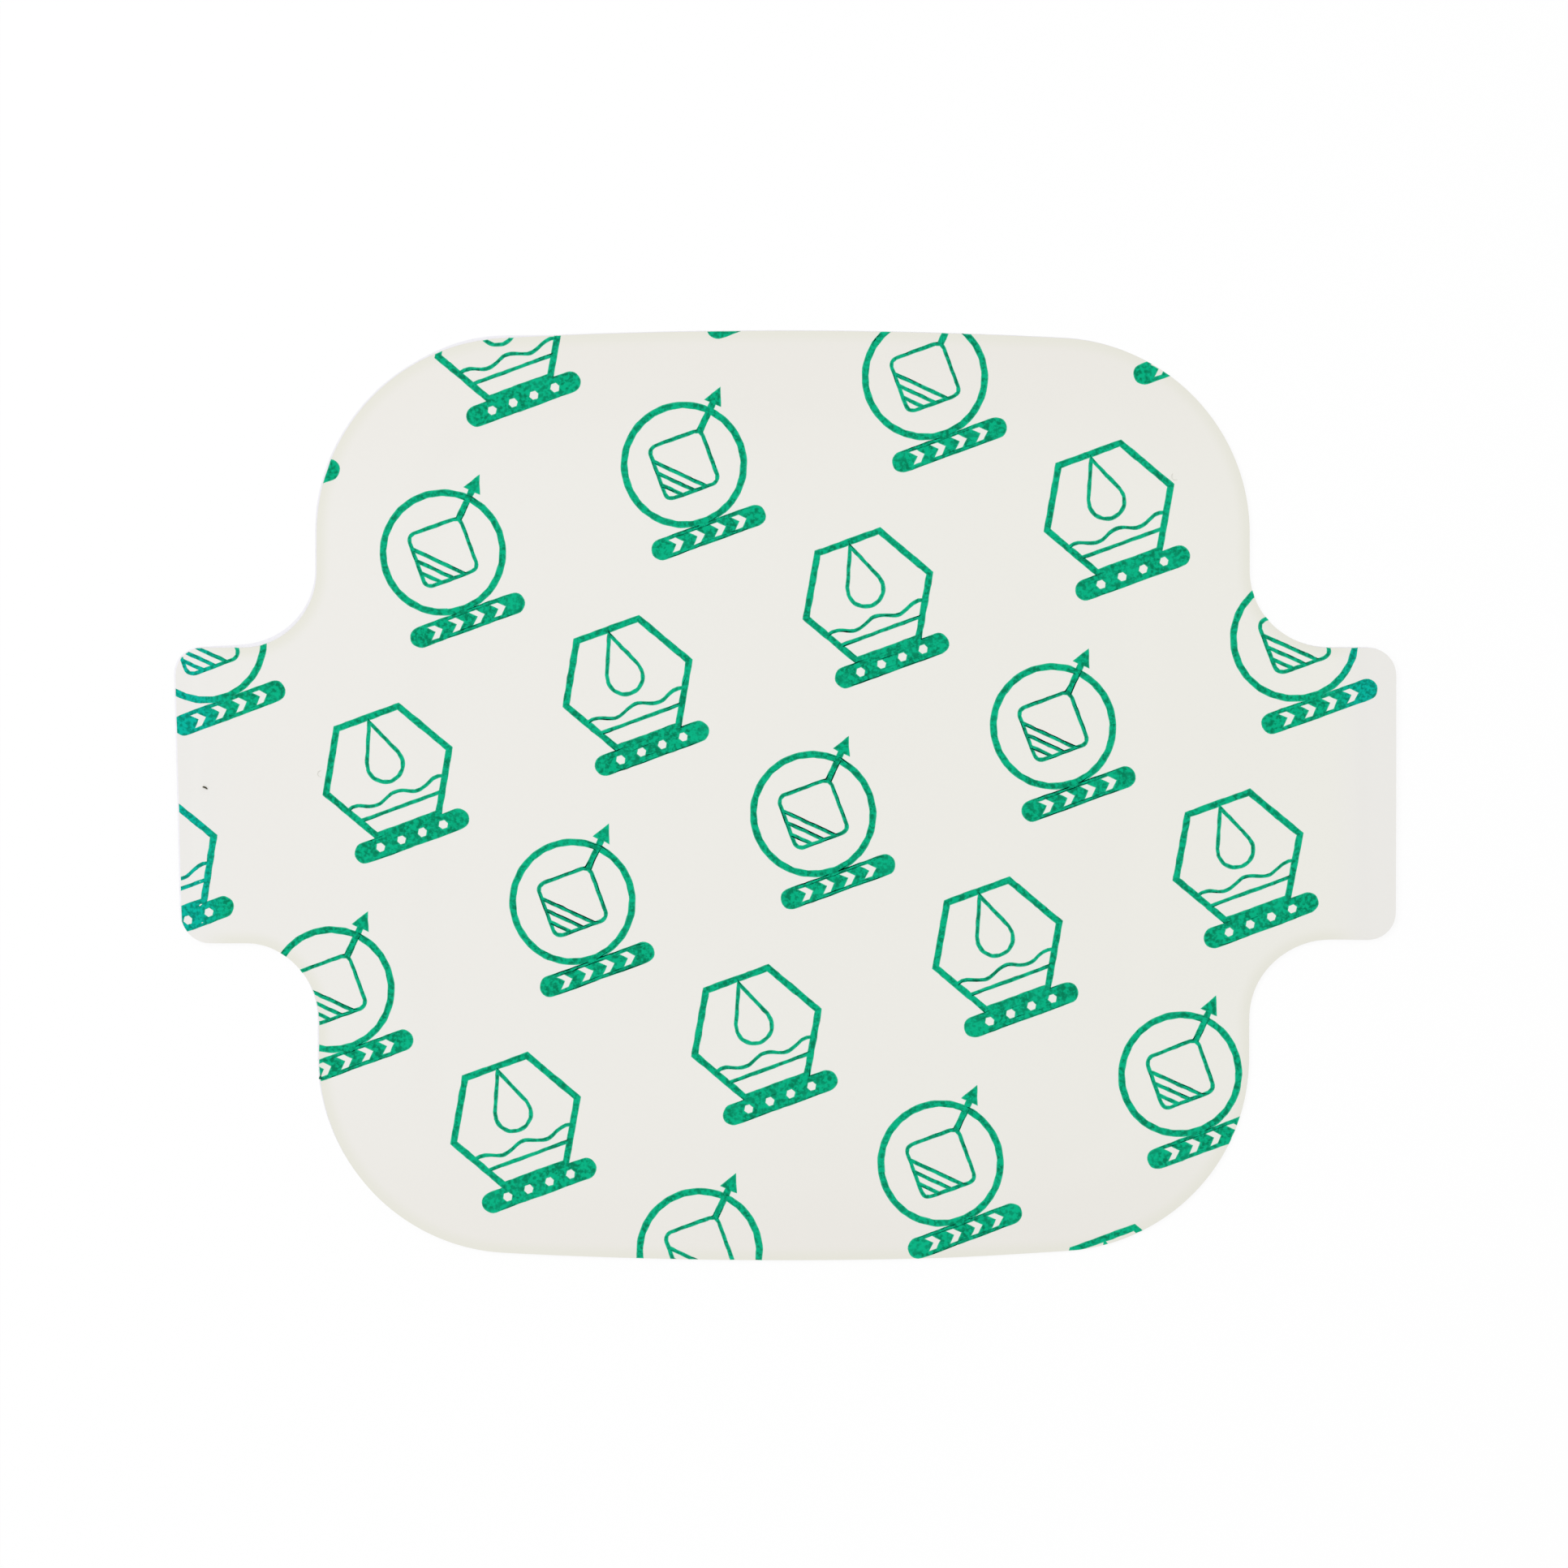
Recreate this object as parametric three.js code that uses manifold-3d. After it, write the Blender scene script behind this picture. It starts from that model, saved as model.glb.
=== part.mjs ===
// A film dressing for wounds and drips, as it lies on a bench with its printed liner up.
// It is a stack of three die-cut sheets: a white paper carrier frame with a window, a thin clear
// adhesive film, and a cream release liner with a green print. The cut gives them one outline, a
// square with large round corners and a tab on each side, and the window is cut from the frame alone.
// Millimetres, +Z up. The origin is on the bench, under the middle of the sheet.
import * as THREE from 'three';
import { mergeVertices } from 'three/addons/utils/BufferGeometryUtils.js';
import Module from 'manifold-3d';

const wasm = await Module();
wasm.setup();

// Outline of the cut sheet
const bodyWidth = 100.4;
const bodyHeight = 100;
const bodyCornerRadius = 21;
const edgeBowRadius = 577; // top and bottom edges are long shallow arcs
const tabLength = 15.5;
const tabHeight = 31.8;
const tabCornerRadius = 3;
const notchRadius = 8.3; // inside corner where a tab leaves the body

// Sheets
const frameThickness = 0.13;
const filmThickness = 0.05;
const linerThickness = 0.1;
const frameSideBorder = 9.2; // window edge to body edge, at the tabs
const frameEndBorder = 6; // window edge to the middle of the top and bottom edges
const windowCornerRadius = 14;
const dryTipLeft = 3; // the film stops short of each tab's end, so the tab can be gripped
const dryTipRight = 4.2;
const frameSlipLeft = 0.16; // the frame paper slipped a little against the liner when it was laminated
const frameSlipUp = 0.2;

// Print on the liner
const inkThickness = 0.02;
const boldLine = 0.72;
const fineLine = 0.42;
const ringRadius = 6.8; // outside of the round sign
const patchSide = 6.4;
const patchCornerRadius = 1;
const hatchLines = 3;
const hatchGap = 1.35;
const arrowLength = 2.5; // beyond the ring
const arrowHead = 2;
const hexagonRadius = 7.5; // middle to corner, outside
const dropRadius = 2.15;
const dropHeight = 0.8; // middle of the drop's round end, above the sign's middle
const waveHeight = 0.7;
const waveLength = 4.8;
const waveGap = 1.35;
const waveFacets = 8; // along one wave length
const labelLength = 13;
const labelHeight = 2.3;
const labelSeat = 0.2; // how far a label reaches into its sign's line
const chevrons = 4;
const chevronWidth = 0.8;
const chevronReach = 0.7; // middle line to its upper and lower points, and how far it points forward
const chevronPitch = 2.4;
const dots = 4;
const dotRadius = 0.5;
const dotPitch = 2.4;
const printPitch = 27.6; // sign to sign along a row
const rowPitch = 20;
const printTilt = 20; // degrees, the web is printed square and the sheets are cut from it aslant
const printShiftRight = 3;
const printShiftUp = -2;
const smallestInkSpot = 1.2; // square millimetres, less than this of a cut sign isn't there

// Facets
const outlineTolerance = 0.02;
const ringTolerance = 0.055;
const printTolerance = 0.07;
const weld = 1e-4; // corners closer than this are one

// Colours
const paper = new THREE.MeshStandardMaterial({ color: '#f6f6f8', roughness: 0.75, metalness: 0 });
const clearFilm = new THREE.MeshStandardMaterial({
  color: '#f2f4f3',
  roughness: 0.25,
  metalness: 0,
  transparent: true,
  opacity: 0.35,
});
const liner = new THREE.MeshStandardMaterial({ color: '#edece7', roughness: 0.5, metalness: 0 });
const ink = new THREE.MeshStandardMaterial({ color: '#00a078', roughness: 0.55, metalness: 0 });

const halfTurn = Math.PI;
const quarterTurn = Math.PI / 2;

// Points of an arc, with as many facets as the tolerance asks for.
function arc(x, y, radius, from, to, tolerance) {
  const facet = 2 * Math.acos(1 - Math.min(tolerance / radius, 1));
  const facets = Math.max(1, Math.ceil(Math.abs(to - from) / facet));
  return new THREE.EllipseCurve(x, y, radius, radius, from, to, to < from).getPoints(facets);
}

function withoutRepeats(points) {
  return points.filter((p, i) => p.distanceTo(points[(i + 1) % points.length]) > 10 * weld);
}

// The outline from the middle of the top edge, clockwise to the end of the right tab:
// bowed edge, body corner, straight side, notch, tab corner. Each arc meets the next at a tangent.
function quarterOutline() {
  const side = bodyWidth / 2;
  const cornerX = side - bodyCornerRadius;
  const bowY = bodyHeight / 2 - edgeBowRadius;
  const cornerY = bowY + Math.sqrt((edgeBowRadius - bodyCornerRadius) ** 2 - cornerX ** 2);
  const bowEnd = quarterTurn - Math.asin(cornerX / (edgeBowRadius - bodyCornerRadius));
  const tabEdge = tabHeight / 2;
  const tip = side + tabLength;
  const notch = Math.min(notchRadius, cornerY - tabEdge, tabLength - tabCornerRadius);
  const tolerance = outlineTolerance;
  return [
    ...arc(0, bowY, edgeBowRadius, quarterTurn, bowEnd, tolerance),
    ...arc(cornerX, cornerY, bodyCornerRadius, bowEnd, 0, tolerance),
    ...arc(side + notch, tabEdge + notch, notch, halfTurn, 3 * quarterTurn, tolerance),
    ...arc(tip - tabCornerRadius, tabEdge - tabCornerRadius, tabCornerRadius, quarterTurn, 0, tolerance),
  ];
}

function sheetOutline() {
  const quarter = quarterOutline();
  const turned = (points, x, y) => points.map((p) => new THREE.Vector2(p.x * x, p.y * y));
  return withoutRepeats([
    ...quarter,
    ...turned(quarter, 1, -1).reverse(),
    ...turned(quarter, -1, -1),
    ...turned(quarter, -1, 1).reverse(),
  ]);
}

// A rectangle with round corners about the middle, counter-clockwise.
function roundedRectangle(width, height, radius, tolerance) {
  const x = width / 2 - radius;
  const y = height / 2 - radius;
  return withoutRepeats([
    ...arc(x, y, radius, 0, quarterTurn, tolerance),
    ...arc(-x, y, radius, quarterTurn, halfTurn, tolerance),
    ...arc(-x, -y, radius, halfTurn, 3 * quarterTurn, tolerance),
    ...arc(x, -y, radius, 3 * quarterTurn, 4 * quarterTurn, tolerance),
  ]);
}

function plate(outline, thickness, holes = []) {
  const shape = new THREE.Shape(outline);
  shape.holes = holes.map((hole) => new THREE.Path(hole));
  return new THREE.ExtrudeGeometry(shape, { depth: thickness, bevelEnabled: false });
}

// Joining and cutting closed geometries
function solid(geometry) {
  const bare = geometry.clone();
  bare.deleteAttribute('normal');
  bare.deleteAttribute('uv');
  const merged = mergeVertices(bare, weld);
  return new wasm.Manifold(
    new wasm.Mesh({
      numProp: 3,
      vertProperties: new Float32Array(merged.attributes.position.array),
      triVerts: new Uint32Array(merged.index.array),
    }),
  );
}

function geometryOf(manifold) {
  const { vertProperties, triVerts } = manifold.getMesh();
  const indexed = new THREE.BufferGeometry();
  indexed.setAttribute('position', new THREE.BufferAttribute(vertProperties, 3));
  indexed.setIndex(new THREE.BufferAttribute(triVerts, 1));
  const geometry = indexed.toNonIndexed();
  geometry.computeVertexNormals();
  return geometry;
}

// Carrier frame: the sheet with its window cut out
function carrierFrame() {
  const width = bodyWidth - 2 * frameSideBorder;
  const height = bodyHeight - 2 * frameEndBorder;
  const radius = Math.min(windowCornerRadius, width / 2, height / 2);
  const window = roundedRectangle(width, height, radius, outlineTolerance);
  return plate(sheetOutline(), frameThickness, [window]);
}

// Adhesive film: the same sheet, from a roll that doesn't reach the ends of the tabs
function dressingFilm() {
  const rollWidth = bodyWidth + 2 * tabLength - dryTipLeft - dryTipRight;
  const roll = new THREE.BoxGeometry(rollWidth, 2 * bodyHeight, 4 * filmThickness);
  roll.translate((dryTipLeft - dryTipRight) / 2, 0, 0);
  return geometryOf(solid(plate(sheetOutline(), filmThickness)).intersect(solid(roll)));
}

// Flat pieces of ink, about the middle of a sign
function inked(outline) {
  return solid(plate(outline, inkThickness));
}

// What cuts a hole through the ink: the same outline, well past both faces
function holed(piece, outlines) {
  const through = (outline) => solid(plate(outline, 3 * inkThickness).translate(0, 0, -inkThickness));
  return outlines.map(through).reduce((left, hole) => left.subtract(hole), piece);
}

function joined(pieces) {
  return pieces.reduce((all, next) => all.add(next));
}

function moved(outline, x, y) {
  return outline.map((p) => new THREE.Vector2(p.x + x, p.y + y));
}

function scaled(outline, factor) {
  return outline.map((p) => p.clone().multiplyScalar(factor));
}

function circle(radius, tolerance) {
  return arc(0, 0, radius, 0, 2 * halfTurn, tolerance).slice(1);
}

function hexagon(radius) {
  const corner = (k) => new THREE.Vector2(radius * Math.cos((k * halfTurn) / 3), radius * Math.sin((k * halfTurn) / 3));
  return [0, 1, 2, 3, 4, 5].map(corner);
}

// A straight line of ink between two points
function stroke(fromX, fromY, toX, toY, width) {
  const from = new THREE.Vector2(fromX, fromY);
  const to = new THREE.Vector2(toX, toY);
  const side = to.clone().sub(from).setLength(width / 2).rotateAround(new THREE.Vector2(), quarterTurn);
  return inked([from.clone().sub(side), to.clone().sub(side), to.add(side), from.add(side)]);
}

// A round-ended bar with holes through it, that hangs from height y and reaches labelSeat above it
function label(y, holes) {
  const middle = y + labelSeat - labelHeight / 2;
  const bar = roundedRectangle(labelLength, labelHeight, labelHeight / 2, printTolerance);
  return holed(inked(moved(bar, 0, middle)), holes.map((hole) => moved(hole, 0, middle)));
}

// Places count copies of an outline along a label, a pitch apart
function rowOf(count, pitch, outline) {
  return Array.from({ length: count }, (_, k) => moved(outline, (k - (count - 1) / 2) * pitch, 0));
}

function chevron() {
  const left = -(chevronWidth + chevronReach) / 2;
  const right = left + chevronWidth;
  return [
    new THREE.Vector2(left, -chevronReach),
    new THREE.Vector2(right, -chevronReach),
    new THREE.Vector2(right + chevronReach, 0),
    new THREE.Vector2(right, chevronReach),
    new THREE.Vector2(left, chevronReach),
    new THREE.Vector2(left + chevronReach, 0),
  ];
}

// Round sign: a square patch with a hatched corner, and an arrow that leads from it out of the ring
function patchSign() {
  const half = patchSide / 2;
  const inside = patchSide - 2 * fineLine;
  const outer = roundedRectangle(patchSide, patchSide, patchCornerRadius, printTolerance);
  const inner = roundedRectangle(inside, inside, patchCornerRadius - fineLine, printTolerance);
  const diagonal = Math.SQRT1_2;
  const corner = half - patchCornerRadius * (1 - diagonal) - fineLine / 2;
  const tip = (ringRadius + arrowLength) * diagonal;
  const neck = tip - arrowHead * diagonal;
  const wing = (arrowHead / 2) * diagonal;
  const head = [
    new THREE.Vector2(tip, tip),
    new THREE.Vector2(neck - wing, neck + wing),
    new THREE.Vector2(neck + wing, neck - wing),
  ];
  const edge = -half + fineLine / 2;
  const hatch = Array.from({ length: hatchLines }, (_, k) => {
    const reach = (k + 1) * hatchGap + fineLine;
    return stroke(edge, edge + reach, edge + reach, edge, fineLine);
  });
  const ring = circle(ringRadius, ringTolerance);
  return joined([
    holed(inked(ring), [scaled(ring, 1 - boldLine / ringRadius)]),
    holed(inked(outer), [inner]),
    stroke(corner, corner, neck + boldLine / 2, neck + boldLine / 2, boldLine),
    inked(head),
    ...hatch,
    label(-ringRadius, rowOf(chevrons, chevronPitch, chevron())),
  ]);
}

// A circle's lower part, and two tangents that meet at the tip above it
function drop() {
  const tipHeight = (hexagonRadius * Math.sqrt(3)) / 2 - boldLine / 2 - dropHeight;
  const open = Math.asin(dropRadius / tipHeight);
  const bulb = arc(0, 0, dropRadius, halfTurn - open, 2 * halfTurn + open, printTolerance);
  return [...bulb, new THREE.Vector2(0, tipHeight)];
}

// How far the hexagon's slanting lines are from its middle at height y
function hexagonReach(y) {
  return hexagonRadius - (Math.abs(y) + boldLine) / Math.sqrt(3);
}

// A wavy line from side to side of the hexagon at height y
function wave(y) {
  const reach = hexagonReach(y);
  const steps = Math.ceil((2 * reach * waveFacets) / waveLength);
  const edge = (offset) =>
    Array.from({ length: steps + 1 }, (_, k) => {
      const x = -reach + (2 * reach * k) / steps;
      return new THREE.Vector2(x, y + (waveHeight / 2) * Math.cos((2 * halfTurn * x) / waveLength) + offset);
    });
  return inked([...edge(-fineLine / 2), ...edge(fineLine / 2).reverse()]);
}

// Six-sided sign: a drop that hangs from the top line, over a wavy and a straight line
function dropSign() {
  const flat = (hexagonRadius * Math.sqrt(3)) / 2;
  const frame = hexagon(hexagonRadius);
  const outer = moved(drop(), 0, dropHeight);
  const inner = moved(scaled(drop(), 1 - fineLine / dropRadius), 0, dropHeight);
  const waveY = dropHeight - dropRadius - waveGap;
  const lineY = waveY - waveGap;
  const lineReach = hexagonReach(lineY);
  return joined([
    holed(inked(frame), [scaled(frame, 1 - boldLine / flat)]),
    holed(inked(outer), [inner]),
    wave(waveY),
    stroke(-lineReach, lineY, lineReach, lineY, fineLine),
    label(-flat, rowOf(dots, dotPitch, circle(dotRadius, printTolerance))),
  ]);
}

function named(name, geometry, material) {
  const mesh = new THREE.Mesh(geometry, material);
  mesh.name = name;
  return mesh;
}

// How a sign's place is said: mid, up2, left1. A sign that the edge cuts in two has a second piece, _b.
function placeName(row, column, piece) {
  const vertical = row === 0 ? 'mid' : `${row > 0 ? 'up' : 'down'}${Math.abs(row)}`;
  const sideways = column === 0 ? 'mid' : `${column > 0 ? 'right' : 'left'}${Math.abs(column)}`;
  return `print_${vertical}_${sideways}${['', '_b', '_c'][piece]}`;
}

// The signs in staggered rows across the liner, every second row of the other kind, cut at its edge
function printedSigns() {
  const signs = [patchSign(), dropSign()].map(geometryOf);
  const field = solid(plate(sheetOutline(), 3 * inkThickness).translate(0, 0, -inkThickness));
  const tilt = THREE.MathUtils.degToRad(printTilt);
  const reach = Math.hypot(bodyWidth / 2 + tabLength, bodyHeight / 2);
  const rows = Math.ceil(reach / rowPitch);
  const columns = Math.ceil(reach / printPitch) + 1;
  const smallest = smallestInkSpot * inkThickness;
  const pieces = [];
  for (let row = -rows; row <= rows; row += 1) {
    const kind = Math.abs(row % 2);
    for (let column = -columns; column <= columns; column += 1) {
      const place = signs[kind].clone();
      place.translate((column + kind / 2) * printPitch, row * rowPitch, 0);
      place.rotateZ(tilt).translate(printShiftRight, printShiftUp, 0);
      const printed = solid(place).intersect(field).decompose();
      const kept = printed.filter((piece) => piece.volume() > smallest).sort((a, b) => b.volume() - a.volume());
      kept.forEach((piece, k) => pieces.push(named(placeName(row, column, k), geometryOf(piece), ink)));
    }
  }
  return pieces;
}

// Assembly, bottom to top. The slip is shared out, so that the origin stays under the middle.
const dressing = new THREE.Group();

const carrier = named('carrier_frame', carrierFrame(), paper);
carrier.position.set(-frameSlipLeft / 2, frameSlipUp / 2, 0);

const adhesive = new THREE.Group();
adhesive.position.set(frameSlipLeft / 2, -frameSlipUp / 2, frameThickness);
const film = named('dressing_film', dressingFilm(), clearFilm);
const release = named('release_liner', plate(sheetOutline(), linerThickness), liner);
release.position.z = filmThickness;
adhesive.add(film, release);

const print = new THREE.Group();
print.position.z = filmThickness + linerThickness;
print.add(...printedSigns());
adhesive.add(print);

dressing.add(carrier, adhesive);

export default dressing;
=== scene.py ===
# %% [markdown]
# # A film dressing, lying with its printed liner up
# The dressing is three thin sheets that were laid on each other and then cut out together: a white
# paper frame with a window, a clear adhesive film, and a cream release liner with a green print.
# Seen from above it is nearly flat, so its look is made by small things: a film that sinks a little
# into the window, tabs that aren't stuck at their ends, a cut edge that lets a thread of the white
# paper show, and ink that isn't quite even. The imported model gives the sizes, and it is loaded first.

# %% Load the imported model
import math

import bmesh
import bpy
import numpy as np
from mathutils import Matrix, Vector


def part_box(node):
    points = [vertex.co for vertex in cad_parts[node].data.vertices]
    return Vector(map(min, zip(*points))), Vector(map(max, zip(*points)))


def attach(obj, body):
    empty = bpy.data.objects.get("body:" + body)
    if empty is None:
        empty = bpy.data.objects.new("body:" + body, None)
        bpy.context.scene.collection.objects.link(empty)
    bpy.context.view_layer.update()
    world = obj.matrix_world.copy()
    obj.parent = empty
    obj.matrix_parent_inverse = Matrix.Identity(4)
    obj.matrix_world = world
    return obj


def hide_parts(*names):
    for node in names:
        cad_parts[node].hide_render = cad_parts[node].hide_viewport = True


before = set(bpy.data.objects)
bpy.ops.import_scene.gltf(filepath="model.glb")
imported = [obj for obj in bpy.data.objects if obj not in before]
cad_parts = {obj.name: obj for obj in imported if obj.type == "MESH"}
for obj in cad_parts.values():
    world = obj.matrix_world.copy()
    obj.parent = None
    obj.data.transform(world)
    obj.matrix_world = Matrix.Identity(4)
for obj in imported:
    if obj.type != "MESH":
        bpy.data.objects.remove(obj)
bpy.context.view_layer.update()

# %% [markdown]
# ## Sizes
# Everything below is worked out in millimetres, as on a die maker's drawing, and turned into
# metres when a mesh is made. Lengths, heights and places of the sheets are read from the packed
# model. The radii and borders of the cut and of the window have to be given again, and so have,
# further down, the measures of the printed signs.

# %% Sizes in millimetres
MM = 0.001


def box_mm(node):
    """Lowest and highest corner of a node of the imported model, in millimetres."""
    low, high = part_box(node)
    return np.array(low) / MM, np.array(high) / MM


liner_low, liner_high = box_mm("release_liner")
film_low, film_high = box_mm("dressing_film")
carrier_low, carrier_high = box_mm("carrier_frame")
liner_middle = (liner_low + liner_high) / 2
carrier_middle = (carrier_low + carrier_high) / 2
sheet_length, sheet_height = (liner_high - liner_low)[:2]

body_corner_radius = 21.0
edge_bow_radius = 577.0
tab_length = 15.5
tab_height = 31.8
tab_corner_radius = 3.0
notch_radius = 8.3
window_side_border = 9.2
window_end_border = 6.0
window_corner_radius = 14.0

body_width = sheet_length - 2 * tab_length
window_half = np.array([body_width / 2 - window_side_border, sheet_height / 2 - window_end_border])
print(f"The liner is {sheet_length:.1f} x {sheet_height:.1f} mm, the window {2 * window_half}")

# %% [markdown]
# ## The cut line
# A die has no free-hand curves: it is bent from straight steel and round arcs that run into each
# other. A quarter of the line is therefore four arcs, from the middle of the top edge round to the
# end of the right tab, and mirroring it gives the rest. The points are then spread evenly along
# the line, so that facets are equally short everywhere.

# %% The outline as a function
def arc(x, y, radius, start, stop, points=64):
    """Points (x + radius cos a, y + radius sin a), where a runs evenly from start to stop."""
    a = np.linspace(start, stop, points)
    return np.stack([x + radius * np.cos(a), y + radius * np.sin(a)], axis=-1)


def quarter_outline():
    """Bow of the top edge, body corner, notch and tab corner. Each arc starts along the last one's
    tangent: the corner's middle lies on a circle of the bow's radius less its own about the bow's
    middle, and the others touch upright or level lines."""
    side = body_width / 2
    tip = side + tab_length
    tab_edge = tab_height / 2
    corner_x = side - body_corner_radius
    inner_bow = edge_bow_radius - body_corner_radius
    bow_y = sheet_height / 2 - edge_bow_radius
    corner_y = bow_y + math.sqrt(inner_bow**2 - corner_x**2)
    bow_end = math.pi / 2 - math.asin(corner_x / inner_bow)
    return np.concatenate([
        arc(0, bow_y, edge_bow_radius, math.pi / 2, bow_end),
        arc(corner_x, corner_y, body_corner_radius, bow_end, 0),
        arc(side + notch_radius, tab_edge + notch_radius, notch_radius, math.pi, 1.5 * math.pi),
        arc(tip - tab_corner_radius, tab_edge - tab_corner_radius, tab_corner_radius, math.pi / 2, 0),
    ])


def whole_outline():
    """The quarter and its three mirror images, from the right tab's end counter-clockwise."""
    quarter = quarter_outline()
    upper_left = quarter * [-1, 1]
    return np.concatenate([quarter[::-1], upper_left, -quarter[::-1], quarter * [1, -1]])


def spread_evenly(line, share):
    """Points of a closed line at the given shares of its length, found by interpolating x and y
    over the length walked so far."""
    closed = np.concatenate([line, line[:1]])
    walked = np.concatenate([[0], np.cumsum(np.linalg.norm(np.diff(closed, axis=0), axis=1))])
    at = (share % 1) * walked[-1]
    return np.stack([np.interp(at, walked, closed[:, k]) for k in (0, 1)], axis=-1)


cut_line = whole_outline()
print(f"The cut line has {len(cut_line)} points, from {cut_line.min(0)} to {cut_line.max(0)} mm")

# %% [markdown]
# ## Not quite square
# The sheet in the picture was cut a little out of square, by parts of a millimetre. The packed
# model is symmetric, as the die is meant to be. So the true outline is made first, and every point
# of every sheet and of the print is then moved by one and the same formula.

# %% The cut of this one sheet
body_ends = (50, 58)
upper_creep = 0.26
creep_range = (-8, 20)
left_end_in = 0.39
left_end_slant = 0.0244
left_end_range = (52, 62)
right_edge_up = 0.27
right_end_range = (52, 60)
notch_at = (52.0, -20.0)
notch_deeper = 0.3
notch_spread = 9.0
corner_in = 0.28
corner_range = (46, 58)


def smoothstep(low, high, value):
    """0 below low, 1 above high, and 3 t^2 - 2 t^3 between them."""
    t = np.clip((value - low) / (high - low), 0, 1)
    return t * t * (3 - 2 * t)


def as_cut(x, y):
    """Where a point of the true outline lies on this sheet, which was cut a little out of square:
    the upper half of the body stands to the left, the left tab's end leans in by a part of y, the
    right tab's lower edge is a little high, and the lower right notch and corner are cut deeper,
    the notch by notch_deeper exp(-d^2 / 2 s^2) at a distance d from its middle."""
    body = 1 - smoothstep(*body_ends, np.abs(x))
    left_end = smoothstep(*left_end_range, -x)
    right_end = smoothstep(*right_end_range, x)
    dx = left_end * (left_end_in - left_end_slant * y) - upper_creep * body * smoothstep(*creep_range, y)
    dy = right_edge_up * right_end * smoothstep(0, tab_height / 2, -y)
    to_notch = (x - notch_at[0]) ** 2 + (y - notch_at[1]) ** 2
    pull = notch_deeper * np.exp(-to_notch / (2 * notch_spread**2))
    pull = (pull + corner_in * body * smoothstep(*corner_range, (x - y) / math.sqrt(2))) / math.sqrt(2)
    return x + dx - pull, y + dy + pull


off_square = np.hypot(*(np.stack(as_cut(*cut_line.T)) - cut_line.T))
print(f"The outline moves by {off_square.mean():.2f} mm on average, {off_square.max():.2f} mm at most")

# %% [markdown]
# ## How the sheets lie
# Three small heights shape the stack. The whole stack lifts a little off the bench towards its
# ends and edges, because paper is never quite flat. Film and liner sink into the window, where no
# paper carries them, and that draws the window's soft outline on the liner. Past the film's ends
# the liner steps down onto the paper. Each is a formula in x and y, so that every sheet and the
# print can use the same ones and stay on each other.

# %% Heights as formulas
tip_curl = 0.3
curl_start = 47.0
rim_wave = 0.07
wave_start = 0.55
window_sag = 0.085
sag_reach = 4.5
step_reach = 1.3
sheet_gap = 0.002
tip_fade = (-3.5, 1.0)


def lift(x, y):
    """Height of the stack's underside: the tabs' ends curl up, and the rim stands in slow waves."""
    curl = tip_curl * smoothstep(curl_start, sheet_length / 2 + 6, np.abs(x)) ** 1.5
    out = np.hypot(2 * x / sheet_length, 2 * y / sheet_height)
    turn = np.arctan2(y, x)
    wave = 1 + 0.6 * np.sin(3 * turn + 0.7) + 0.4 * np.sin(5 * turn - 1.9)
    return curl + rim_wave * wave * smoothstep(wave_start, 1.0, out) / 2


def inside_window(x, y):
    """Distance to the window's edge, in it: that of a rectangle with round corners."""
    qx = np.abs(x - carrier_middle[0]) - window_half[0] + window_corner_radius
    qy = np.abs(y - carrier_middle[1]) - window_half[1] + window_corner_radius
    outside = np.hypot(np.maximum(qx, 0), np.maximum(qy, 0))
    return window_corner_radius - outside - np.minimum(np.maximum(qx, qy), 0)


def sag(x, y):
    """How far film and liner sink into the window."""
    return window_sag * smoothstep(0, sag_reach, inside_window(x, y))


def past_film(x):
    """How far x is past the nearer end of the film, negative over the film."""
    return np.maximum(x - film_high[0], film_low[0] - x)


film_thickness = liner_low[2] - film_low[2]


def step_down(x):
    """How far the liner has come down onto the paper past the film's ends."""
    return film_thickness * smoothstep(0, step_reach, past_film(x))


def off_film(x):
    """0 where the liner lies on film, 1 at the tabs' bare tips, and a soft step between them."""
    return smoothstep(*tip_fade, past_film(x))


def film_base(x, y):
    """Height of the film's underside."""
    return film_low[2] + sheet_gap + lift(x, y) - sag(x, y)


def liner_base(x, y):
    """Height of the liner's underside."""
    return liner_low[2] + 2 * sheet_gap + lift(x, y) - sag(x, y) - step_down(x)


at_middle, at_end = liner_base(0.0, 0.0), liner_base(sheet_length / 2, 0.0)
print(f"The liner lies at {at_middle:.3f} mm in the middle and {at_end:.3f} mm at a tip")

# %% [markdown]
# ## Sheets as surfaces
# A sheet without a hole can be a grid that is square in its own numbering but follows the cut line
# on the bench: each square ring of the grid is laid round the sheet at the same share of the way
# from the middle to the edge. That has no pole in the middle, and its last ring is the cut line
# itself. A sheet with a window is a plain ring of spokes instead. Both get a second surface under
# the first and a wall between the two, so each is closed.

# %% From numbers to meshes
crease = math.radians(40)


def mesh_piece(name, points, faces):
    """An object at the origin, with points in millimetres and faces as rows of point numbers."""
    mesh = bpy.data.meshes.new(name)
    mesh.from_pydata((points * MM).tolist(), [], faces.tolist())
    mesh.update()
    mesh.shade_smooth()
    mesh.set_sharp_from_angle(angle=crease)
    piece = bpy.data.objects.new(name, mesh)
    bpy.context.scene.collection.objects.link(piece)
    triangles = sum(len(p.vertices) - 2 for p in mesh.polygons)
    print(f"{name}: {len(mesh.vertices)} points, {triangles} triangles")
    return piece


def grid_faces(rows):
    """Quads between neighbouring rows and columns of a table of point numbers."""
    return np.stack([rows[:-1, :-1], rows[1:, :-1], rows[1:, 1:], rows[:-1, 1:]], axis=-1).reshape(-1, 4)


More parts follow.
